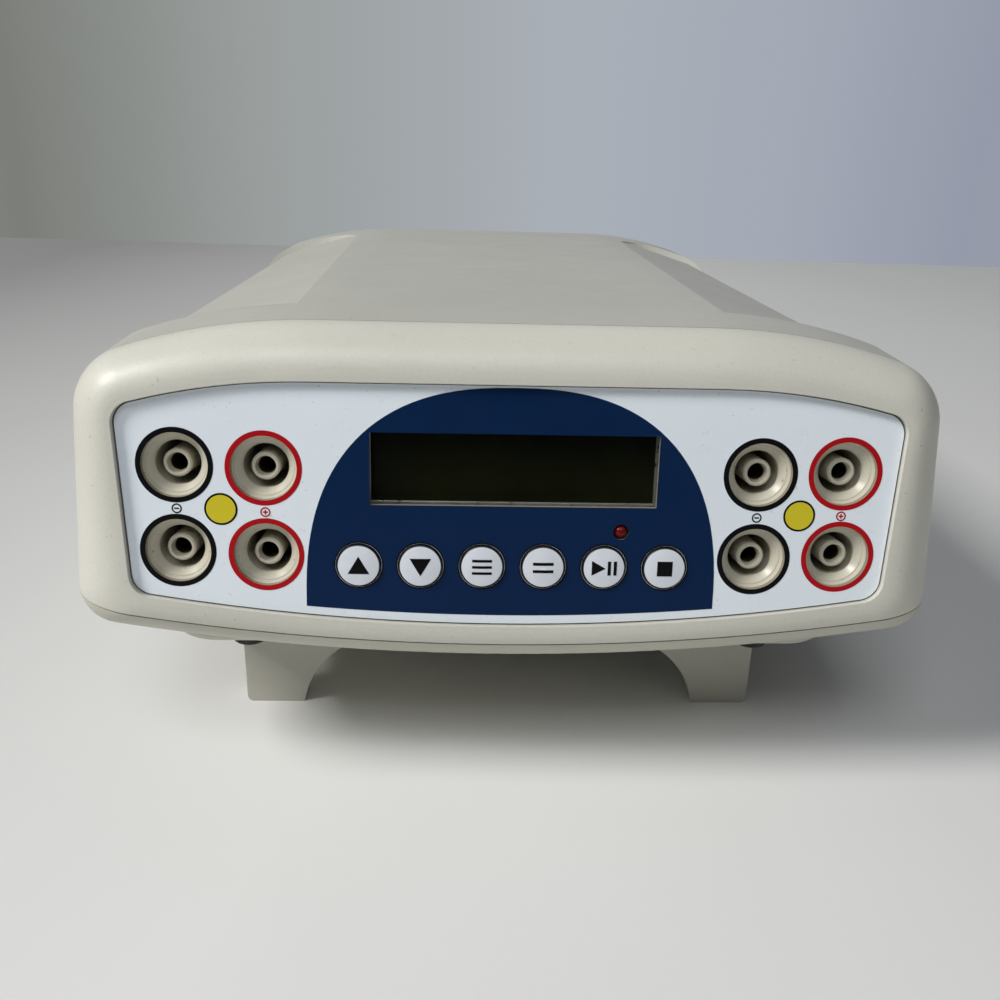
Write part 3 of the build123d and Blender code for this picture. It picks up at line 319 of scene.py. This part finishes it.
class Shader:
    """A material under construction, with its nodes and links."""

    def __init__(self, name):
        self.material = bpy.data.materials.new(name)
        self.material.use_nodes = True
        self.tree = self.material.node_tree
        self.surface = self.tree.nodes["Principled BSDF"]
        self.place = self.add("ShaderNodeTexCoord").outputs["Object"]

    def add(self, kind, **settings):
        node = self.tree.nodes.new(kind)
        for key, value in settings.items():
            setattr(node, key, value)
        return node

    def join(self, source, target):
        self.tree.links.new(source, target)

    def set(self, **values):
        """Sets plain values on the surface's own sockets."""
        for key, value in values.items():
            self.surface.inputs[key.replace("_", " ")].default_value = value

    def noise(self, size_mm, detail=3.0, rough=0.55, stretch=None):
        """Noise whose features are about size_mm across."""
        node = self.add("ShaderNodeTexNoise")
        node.inputs["Scale"].default_value = 1 / (size_mm * MM)
        node.inputs["Detail"].default_value = detail
        node.inputs["Roughness"].default_value = rough
        source = self.place
        if stretch:
            mapping = self.add("ShaderNodeMapping")
            mapping.inputs["Scale"].default_value = stretch
            self.join(self.place, mapping.inputs["Vector"])
            source = mapping.outputs["Vector"]
        self.join(source, node.inputs["Vector"])
        return node.outputs["Fac"]

    def ramp(self, source, low, high, first, second):
        """Colour that goes from first to second as the source goes from low to high."""
        node = self.add("ShaderNodeValToRGB")
        node.color_ramp.elements[0].position = low
        node.color_ramp.elements[1].position = high
        node.color_ramp.elements[0].color = first
        node.color_ramp.elements[1].color = second
        self.join(source, node.inputs["Fac"])
        return node.outputs["Color"]

    def spread(self, source, low, high):
        """Maps the middle of a noise onto a range of values."""
        return range_node(self.tree, source, *NOISE_MIDDLE, low, high)

    def mottle(self, size_mm, first, second, detail=3.0, rough=0.55):
        """Two colours in patches about size_mm across."""
        return self.ramp(self.noise(size_mm, detail, rough), *NOISE_MIDDLE, first, second)

    def mix(self, share, first, second):
        return mix_node(self.tree, share, first, second)

    def multiply(self, first, second):
        return mix_node(self.tree, 1.0, first, second, "MULTIPLY")

    def edges(self, radius_mm):
        """Normal with softened edges."""
        node = self.add("ShaderNodeBevel", samples=6)
        node.inputs["Radius"].default_value = radius_mm * MM
        return node.outputs["Normal"]

    def bump(self, height, depth_mm, normal=None, strength=1.0):
        """Bumps of a given depth over an optional normal."""
        node = self.add("ShaderNodeBump")
        node.inputs["Strength"].default_value = strength
        node.inputs["Distance"].default_value = depth_mm * MM
        self.join(height, node.inputs["Height"])
        if normal:
            self.join(normal, node.inputs["Normal"])
        return node.outputs["Normal"]

    def crevices(self, reach_mm):
        """Mask that is 1 in the open and falls towards 0 in corners."""
        node = self.add("ShaderNodeAmbientOcclusion", samples=8)
        node.inputs["Distance"].default_value = reach_mm * MM
        return node.outputs["AO"]

    def facing_front(self, low, high):
        """Mask: 1 on faces that look the way the front panel does, 0 on those across it."""
        dot = self.add("ShaderNodeVectorMath", operation="DOT_PRODUCT")
        dot.inputs[1].default_value = MOUNTS[REFERENCE_SOCKET]["axis"]
        self.join(self.add("ShaderNodeNewGeometry").outputs["Normal"], dot.inputs[0])
        return self.ramp(dot.outputs["Value"], low, high, BLACK, WHITE)

    def colour(self, source):
        self.join(source, self.surface.inputs["Base Color"])

    def roughness(self, source):
        self.join(source, self.surface.inputs["Roughness"])

    def normal(self, source):
        self.join(source, self.surface.inputs["Normal"])


def moulded(name, colour, rough=0.42, mottle=0.03, grain_mm=0.45, grain_depth_mm=0.012,
            edge_mm=0.35, dirt_and_shade_share=0.25, dirt_and_shade_reach_mm=1.6, specks=0.0):
    """Moulded plastic: faint mottling, spark-eroded grain, soft edges, and dust with painted shade in the corners.
    """
    shader = Shader(name)
    body = shader.ramp(
        shader.noise(45.0), 0.35, 0.65, scaled(colour, 1 - mottle), scaled(colour, 1 + mottle)
    )
    fine = shader.mottle(0.8, (0.965, 0.96, 0.95, 1), (1.02, 1.02, 1.02, 1), 4.0, 0.7)
    body = shader.multiply(body, fine)
    if specks:
        spots = shader.ramp(shader.noise(1.1, 1.0, 0.3), 0.755, 0.78, WHITE, SPECK)
        body = shader.mix(specks, body, shader.multiply(body, spots))
    # Dust and painted shade: the colour darkens in patches in corners and crevices, by how closed in they are
    crevice_dirt_and_shade = shader.ramp(shader.crevices(dirt_and_shade_reach_mm), 0.25, 0.85, WHITE, BLACK)
    patchy_dirt_and_shade = shader.multiply(crevice_dirt_and_shade, shader.spread(shader.noise(6.0), 0.35, 1.0))
    dirt_and_shade_layer = shader.mix(dirt_and_shade_share, BLACK, patchy_dirt_and_shade)
    shader.colour(shader.mix(dirt_and_shade_layer, body, DUST_AND_SHADE))
    shader.roughness(shader.spread(shader.noise(9.0, 5.0), rough - 0.06, rough + 0.07))
    grain = shader.noise(grain_mm, 2.0, 0.5)
    shader.normal(shader.bump(grain, grain_depth_mm, shader.edges(edge_mm)))
    shader.set(IOR=1.48)
    return shader.material


def key_cap(name):
    """White key whose rounded rim carries painted shade: it is coloured near black, as the shaded gap round the
    key.
    """
    shader = Shader(name)
    white = shader.mottle(2.5, linear(222, 227, 235), linear(228, 233, 241), 4.0)
    # Painted shade: faces of the key that turn away from the front are near black
    shader.colour(shader.mix(shader.facing_front(*SHADED_RIM_FACING), linear(24, 25, 30), white))
    shader.roughness(shader.spread(shader.noise(5.0, 5.0), 0.34, 0.46))
    shader.normal(shader.bump(shader.noise(0.3), 0.004, shader.edges(0.15)))
    return shader.material


def film(name, colour, rough=0.3, mottle=0.015, shine=0.4, painted_edge_shade_mm=0.0, cut=None):
    """Printed polyester sheet or ink: smooth and finely matt.

    A cut colour shows on its cut edges, and a thin painted shade lies along the walls that it meets.
    """
    shader = Shader(name)
    body = shader.mottle(30.0, scaled(colour, 1 - mottle), scaled(colour, 1 + mottle))
    dust = shader.ramp(shader.noise(0.9, 2.0, 0.4), 0.70, 0.76, WHITE, FILM_DUST)
    body = shader.multiply(body, dust)
    if cut:
        body = shader.mix(shader.facing_front(*CUT_FACING), cut, body)
    # Painted shade: a thin dark line where the sheet meets a wall, standing for the shadow in that corner
    if painted_edge_shade_mm:
        painted_edge_shade_line = shader.ramp(shader.crevices(painted_edge_shade_mm), 0.52, 0.7, PAINTED_EDGE_SHADE, WHITE)
        body = shader.multiply(body, painted_edge_shade_line)
    shader.colour(body)
    shader.roughness(shader.spread(shader.noise(12.0, 6.0), rough - 0.05, rough + 0.09))
    shader.normal(shader.bump(shader.noise(0.22, 1.0), 0.0025))
    shader.set(Specular_IOR_Level=shine)
    return shader.material


def metal(name, colour, rough=0.32, brush=None, wear=0.12):
    """Bare metal with fine brushing, stains and soft edges."""
    shader = Shader(name)
    shader.colour(shader.mottle(5.0, scaled(colour, 1 - wear), scaled(colour, 1 + wear / 2), 5.0))
    streaks = shader.noise(2.0, 5.0, stretch=brush)
    shader.roughness(shader.spread(streaks, rough - 0.08, rough + 0.12))
    scratches = shader.noise(0.25, 3.0, stretch=brush)
    shader.normal(shader.bump(scratches, 0.004, shader.edges(0.15)))
    shader.set(Metallic=1.0)
    return shader.material


def clear(name, tint, rough=0.03, ior=1.49, alpha=1.0):
    """Clear plastic or glass with faint smears."""
    shader = Shader(name)
    shader.colour(shader.mottle(14.0, scaled(tint, 0.97), tint, 5.0))
    shader.roughness(shader.spread(shader.noise(7.0, 6.0), rough, rough + 0.05))
    shader.normal(shader.bump(shader.noise(4.0, 1.0), 0.003))
    shader.set(Transmission_Weight=1.0, IOR=ior, Alpha=alpha)
    return shader.material


def display_cell(name):
    """Switched-off liquid crystal cell: dark olive, faintly uneven, under a glossy polariser."""
    shader = Shader(name)
    dark, light = (0.0028, 0.0038, 0.0006, 1), (0.0075, 0.0085, 0.0016, 1)
    shader.colour(shader.mottle(22.0, dark, light, 2.0))
    shader.roughness(shader.spread(shader.noise(3.0), 0.12, 0.22))
    shader.normal(shader.bump(shader.noise(6.0, 1.0), 0.002))
    shader.set(Specular_IOR_Level=0.05)
    return shader.material


def lamp_lens(name):
    """Unlit diffused red lens."""
    shader = Shader(name)
    shader.colour(shader.mottle(0.7, (0.1, 0.001, 0.001, 1), (0.17, 0.002, 0.002, 1)))
    shader.roughness(shader.spread(shader.noise(1.2), 0.18, 0.3))
    shader.normal(shader.bump(shader.noise(0.4), 0.004))
    shader.set(Specular_IOR_Level=0.2)
    return shader.material


def laminate(name):
    """Green solder mask with faint tracks under it."""
    shader = Shader(name)
    tracks = shader.add("ShaderNodeTexVoronoi", feature="DISTANCE_TO_EDGE", distance="MANHATTAN")
    tracks.inputs["Scale"].default_value = 1 / (4.0 * MM)
    shader.join(shader.place, tracks.inputs["Vector"])
    copper, mask = (0.03, 0.16, 0.055, 1), (0.012, 0.085, 0.03, 1)
    shader.colour(shader.ramp(tracks.outputs["Distance"], 0.08, 0.13, copper, mask))
    shader.roughness(shader.spread(shader.noise(3.0), 0.3, 0.45))
    shader.normal(shader.bump(tracks.outputs["Distance"], 0.03, strength=0.4))
    return shader.material


def winding(name):
    """Enamelled wire, wound in level rows."""
    shader = Shader(name)
    wave = shader.add("ShaderNodeTexWave", bands_direction="Z")
    wave.inputs["Scale"].default_value = 1 / (3.0 * MM)
    wave.inputs["Distortion"].default_value = 0.6
    shader.join(shader.place, wave.inputs["Vector"])
    dark, light = (0.12, 0.03, 0.008, 1), (0.42, 0.15, 0.045, 1)
    shader.colour(shader.ramp(wave.outputs["Fac"], 0.1, 0.8, dark, light))
    shader.roughness(shader.spread(shader.noise(3.0), 0.25, 0.4))
    shader.normal(shader.bump(wave.outputs["Fac"], 0.15))
    shader.set(Metallic=0.4)
    return shader.material


def rubber(name):
    """Black rubber, dusty and finely pitted."""
    shader = Shader(name)
    clean, dusty = (0.016, 0.016, 0.016, 1), (0.05, 0.048, 0.045, 1)
    shader.colour(shader.ramp(shader.noise(3.0, 5.0), 0.3, 0.75, clean, dusty))
    shader.roughness(shader.spread(shader.noise(2.0), 0.7, 0.9))
    shader.normal(shader.bump(shader.noise(0.3), 0.02, shader.edges(0.3)))
    return shader.material


def bench_top(name):
    """Pale laminate, very slightly uneven, with a faint sheen, and a painted shade that darkens it towards the far
    left.
    """
    shader = Shader(name)
    body = shader.mottle(350.0, linear(230, 230, 228), linear(235, 235, 234))
    # Painted shade: the bench's colour darkens along one direction, towards the far left, standing in for shadow
    # there
    away = shader.add("ShaderNodeVectorMath", operation="DOT_PRODUCT")
    away.inputs[1].default_value = PAINTED_SHADE_TOWARDS
    shader.join(shader.place, away.inputs[0])
    bench_painted_shade = shader.ramp(away.outputs["Value"], 0.0, PAINTED_SHADE_REACH, WHITE, scaled(WHITE, PAINTED_SHADE_SHARE))
    shader.colour(shader.multiply(body, bench_painted_shade))
    shader.roughness(shader.spread(shader.noise(60.0, 5.0), 0.48, 0.6))
    shader.normal(shader.bump(shader.noise(1.5), 0.002))
    return shader.material


def slot_materials():
    """One finish for each material slot of the record."""
    return {
        "bezel_plastic": moulded(
            "bezel_plastic", linear(213, 211, 200), 0.38, grain_mm=0.7, grain_depth_mm=0.02,
            specks=0.3,
        ),
        "cover_plastic": moulded("cover_plastic", linear(187, 186, 178), 0.5, specks=0.5),
        "base_plastic": moulded("base_plastic", linear(196, 193, 179), 0.46),
        "stand_plastic": moulded("stand_plastic", linear(196, 194, 182), 0.46),
        # The socket funnels get more of the dust and painted shade in their hollows
        "socket_plastic": moulded(
            "socket_plastic", linear(200, 195, 178), 0.34, edge_mm=0.2, dirt_and_shade_share=0.5,
            grain_depth_mm=0.006, specks=0.8,
        ),
        # The front sheet gets a thin painted shade along the walls of its recess
        "overlay_film": film(
            "overlay_film", linear(238, 246, 254), painted_edge_shade_mm=0.5, cut=linear(150, 140, 122)
        ),
        "key_plastic": key_cap("key_plastic"),
        "dark_plastic": moulded("dark_plastic", linear(38, 38, 39), 0.45),
        "rocker_plastic": moulded(
            "rocker_plastic", linear(30, 30, 31), 0.25, grain_depth_mm=0.003
        ),
        "foot_rubber": rubber("foot_rubber"),
        "window_acrylic": clear("window_acrylic", (0.85, 0.88, 0.82, 1), ior=1.4, alpha=0.25),
        "fuse_glass": clear("fuse_glass", (0.9, 0.93, 0.93, 1)),
        "display_cell": display_cell("display_cell"),
        "lamp_red": lamp_lens("lamp_red"),
        "board_laminate": laminate("board_laminate"),
        "copper_winding": winding("copper_winding"),
        "steel": metal("steel", (0.55, 0.55, 0.54, 1)),
        "aluminium": metal("aluminium", (0.62, 0.62, 0.63, 1), brush=(1, 0.05, 1)),
        "contact_brass": metal("contact_brass", (0.3, 0.25, 0.15, 1), 0.4),
        "rear_metal": moulded(
            "rear_metal", linear(190, 188, 178), 0.5, grain_mm=0.7, grain_depth_mm=0.02
        ),
        "capacitor_sleeve": film("capacitor_sleeve", linear(28, 32, 58), 0.28),
        "ribbon": moulded("ribbon", linear(160, 160, 158), 0.5),
    }


def dress_nodes():
    """Puts each slot's finish on the nodes that carry it."""
    finishes = slot_materials()
    for part in RECORD["subparts"]:
        node = NODES[part["node"]]
        node.data.materials.clear()
        node.data.materials.append(finishes[part["material_slot"]])


# What is printed on the front


def print_arch(ink):
    """Dark arch behind the display and the keys."""
    holes = [rectangle(2 * WINDOW_HALF, WINDOW_V[1] - WINDOW_V[0], (0, sum(WINDOW_V) / 2))]
    holes.append(circle(LAMP_HOLE_R, LAMP_AT))
    for u in key_columns().values():
        holes.append(circle(KEY_HOLE_R, (u, KEY_V)))
    arch = flat_piece("print_arch", [arch_outline()] + holes, on_panel(0, 0))
    finish_piece(arch, "housing", ink)


def key_columns():
    """Place across the panel of each key."""
    columns = {}
    for name in NODES:
        if name.startswith("key_") and name != "key_switches":
            low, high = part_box(name)
            columns[name] = (low.x + high.x) / 2 / MM
    return columns


def print_key_rings(ink):
    """Thin dark outline round each key."""
    for name, u in key_columns().items():
        ring = flat_piece(
            f"print_ring_{name}", [circle(KEY_RING_R), circle(KEY_HOLE_R)],
            on_panel(u, KEY_V, PRINT_T + PRINT_LIFT),
        )
        finish_piece(ring, "housing", ink)


def print_socket_rings(black, red):
    """Coloured ring round each socket: black for the negative ones, red for the positive ones."""
    for name, mount in MOUNTS.items():
        if not name.startswith("socket_"):
            continue
        u, v, _ = panel_place(mount["pos_m"])
        negative = name.startswith("socket_left_outer") or name.startswith("socket_right_inner")
        ring = flat_piece(
            f"print_ring_{name}", [circle(RING_OUT_R, count=96), circle(RING_IN_R, count=96)],
            on_panel(u, v),
        )
        finish_piece(ring, "housing", black if negative else red)


def plus_outline():
    """Outline of a plus sign."""
    half, thin = SIGN_BAR / 2, SIGN_STROKE / 2
    return [
        (-half, -thin), (-thin, -thin), (-thin, -half), (thin, -half), (thin, -thin),
        (half, -thin), (half, thin), (thin, thin), (thin, half), (-thin, half),
        (-thin, thin), (-half, thin),
    ]


def print_signs(black, red):
    """Small ringed minus and plus signs between the sockets."""
    places = (
        ("left_outer", -1, OUTER_SIGN, False),
        ("left_inner", -1, INNER_SIGN, True),
        ("right_inner", 1, INNER_SIGN, False),
        ("right_outer", 1, OUTER_SIGN, True),
    )
    for name, side, (u, v), positive in places:
        place = on_panel(side * u, v)
        ink = red if positive else black
        rims = [circle(SIGN_R), circle(SIGN_R - SIGN_STROKE)]
        ring = flat_piece(f"sign_ring_{name}", rims, place)
        finish_piece(ring, "housing", ink)
        bar = plus_outline() if positive else rectangle(SIGN_BAR, SIGN_STROKE)
        sign = flat_piece(f"sign_bar_{name}", [bar], place)
        finish_piece(sign, "housing", ink)


def print_dots(yellow, black):
    """Plain yellow spot between each group of four sockets."""
    for side, u in (("left", -DOT_U), ("right", DOT_U)):
        place = on_panel(u, MARK_V)
        dot = flat_piece(f"dot_{side}", [circle(DOT_R)], place)
        ring = flat_piece(f"dot_ring_{side}", [circle(DOT_RING_R), circle(DOT_R)], place)
        finish_piece(dot, "housing", yellow)
        finish_piece(ring, "housing", black)


def key_icons():
    """Plain icon of each key, as outlines about the key's middle."""
    return {
        "key_up": [[(-2.5, -1.9), (2.5, -1.9), (0.0, 2.3)]],
        "key_down": [[(-2.5, 1.9), (0.0, -2.3), (2.5, 1.9)]],
        "key_mode": [rectangle(4.6, 0.62, (0, y)) for y in (-1.5, 0.0, 1.5)],
        "key_constant": [rectangle(4.8, 0.7, (0, y)) for y in (-0.9, 0.9)],
        "key_run": [[(-2.9, -1.8), (0.3, 0.0), (-2.9, 1.8)]]
        + [rectangle(0.75, 3.4, (x, 0)) for x in (1.2, 2.6)],
        "key_stop": [rectangle(3.6, 3.6)],
    }


def print_keys(ink):
    """Icons on the crowns of the keys."""
    columns = key_columns()
    for name, outlines in key_icons().items():
        icon = flat_piece(f"icon_{name}", outlines, on_panel(columns[name], KEY_V, KEY_CROWN_N))
        bend_to_crown(icon)
        finish_piece(icon, name, ink)


def print_rocker(ink):
    """Bar and ring on the two ends of the mains switch."""
    bar = flat_piece("rocker_mark_on", [rectangle(0.7, 3.4)], rocker_place(ROCKER_MARK_Y))
    ring = flat_piece("rocker_mark_off", [circle(1.7), circle(1.1)], rocker_place(-ROCKER_MARK_Y))
    for mark in (bar, ring):
        finish_piece(mark, "rocker", ink)


# Stage, light and camera


def bench():
    """Pale bench top whose rear edge shows behind the object."""
    left, right = BENCH_REAR_Y
    corners = [
        (-BENCH_HALF, BENCH_FRONT_Y, 0), (BENCH_HALF, BENCH_FRONT_Y, 0),
        (BENCH_HALF, right, 0), (-BENCH_HALF, left, 0),
    ]
    mesh = bpy.data.meshes.new("bench")
    mesh.from_pydata(corners, [], [(0, 1, 2, 3)])
    top = link("bench", mesh, Matrix.Identity(4))
    mesh.materials.append(bench_top("bench_top"))


def soft_lamp(name, at, size, watts, colour):
    """Rectangular lamp that faces the object."""
    lamp = bpy.data.lights.new(name, "AREA")
    lamp.shape = "RECTANGLE"
    lamp.size, lamp.size_y = size
    lamp.energy = watts
    lamp.color = colour
    holder = bpy.data.objects.new(name, lamp)
    bpy.context.scene.collection.objects.link(holder)
    holder.location = at
    aim = Vector(LIGHT_TARGET) - Vector(at)
    holder.rotation_euler = aim.to_track_quat("-Z", "Y").to_euler()


def wall_shade(tree, across):
    """Colour of the wall for a view's direction across, from -1 to 1."""
    wall = tree.nodes.new("ShaderNodeValToRGB")
    stops = wall.color_ramp.elements
    while len(stops) < len(WALL_SHADES):
        stops.new(0.5)
    for stop, (x, shade) in zip(stops, WALL_SHADES):
        stop.position = (x + 1) / 2
        stop.color = (*shade, 1.0)
    tree.links.new(range_node(tree, across, -1.0, 1.0), wall.inputs["Fac"])
    return wall.outputs["Color"]


def room_light():
    """Even light from all round, a pale wall behind, and a room that gloss and glass show."""
    world = bpy.data.worlds.new("room")
    world.use_nodes = True
    tree = world.node_tree
    axes = tree.nodes.new("ShaderNodeSeparateXYZ")
    tree.links.new(tree.nodes.new("ShaderNodeTexCoord").outputs["Generated"], axes.inputs[0])
    rays = tree.nodes.new("ShaderNodeLightPath")
    glossy = tree.nodes.new("ShaderNodeMath")
    glossy.operation = "MAXIMUM"
    tree.links.new(rays.outputs["Is Glossy Ray"], glossy.inputs[0])
    tree.links.new(rays.outputs["Is Transmission Ray"], glossy.inputs[1])

    wall = wall_shade(tree, axes.outputs["X"])
    behind = range_node(tree, axes.outputs["Y"], *WALL_FADE)
    overhead = range_node(tree, axes.outputs["Z"], *CEILING_FADE)
    mirrored = mix_node(tree, behind, (*ROOM, 1.0), wall)
    mirrored = mix_node(tree, overhead, mirrored, (*CEILING, 1.0))
    seen = mix_node(tree, glossy.outputs[0], (*SKY, 1.0), mirrored)
    seen = mix_node(tree, rays.outputs["Is Camera Ray"], seen, wall)
    tree.links.new(seen, tree.nodes["Background"].inputs["Color"])
    bpy.context.scene.world = world


def camera():
    """Camera at the photograph's viewing angle."""
    lens = bpy.data.cameras.new("camera")
    lens.lens = LENS_MM
    lens.sensor_width = SENSOR_MM
    lens.sensor_fit = "HORIZONTAL"
    lens.clip_start = 0.01
    holder = bpy.data.objects.new("camera", lens)
    bpy.context.scene.collection.objects.link(holder)
    turn = Euler([math.radians(angle) for angle in CAMERA_TURN_DEG])
    holder.matrix_world = on_panel(*CAMERA_AT) @ turn.to_matrix().to_4x4()
    bpy.context.scene.camera = holder


def prints():
    """Everything that is printed on the object."""
    blue = film("ink_blue", linear(9, 37, 74), 0.34, 0.04, 0.1)
    black = film("ink_black", linear(12, 12, 14), 0.34, shine=0.1)
    red = film("ink_red", linear(176, 14, 24), 0.34, shine=0.15)
    yellow = film("ink_yellow", linear(216, 200, 44), 0.34, shine=0.2)
    white = film("ink_white", linear(225, 226, 226), 0.35)
    print_arch(blue)
    print_key_rings(black)
    print_socket_rings(black, red)
    print_signs(black, red)
    print_dots(yellow, black)
    print_keys(black)
    print_rocker(white)


camera()
bpy.context.scene.view_settings.view_transform = "Standard"
room_light()
soft_lamp("key_lamp", KEY_AT, KEY_SIZE, KEY_WATTS, KEY_COLOUR)
soft_lamp("fill_lamp", FILL_AT, FILL_SIZE, FILL_WATTS, FILL_COLOUR)
bench()
dress_nodes()
prints()
